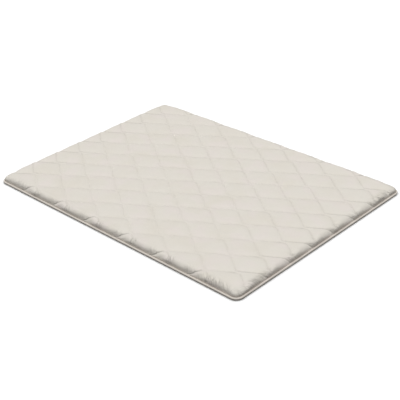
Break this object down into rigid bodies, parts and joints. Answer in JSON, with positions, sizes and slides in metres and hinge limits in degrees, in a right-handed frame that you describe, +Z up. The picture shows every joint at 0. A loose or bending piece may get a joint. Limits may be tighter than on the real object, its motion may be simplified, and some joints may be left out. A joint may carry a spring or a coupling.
{
  "type": "futon mattress",
  "caption": "Thin quilted futon mattress lying open and flat, with rounded corners, diamond quilting and piping round its edge seam.",
  "frame": {"origin": "middle of the flat face that the mattress rests on", "axes": "+X along the long side, +Y across the width, +Z up from the resting face to the quilted top"},
  "size_m": [1.95, 1.41, 0.05],
  "materials": {
    "quilted_cover": "fine plain cream cotton, matt",
    "edge_piping": "plain light beige cloth over a cord, matt"
  },
  "bodies": {
    "root": {"mattress": "quilted_cover", "piping": "edge_piping"}
  },
  "joints": []
}
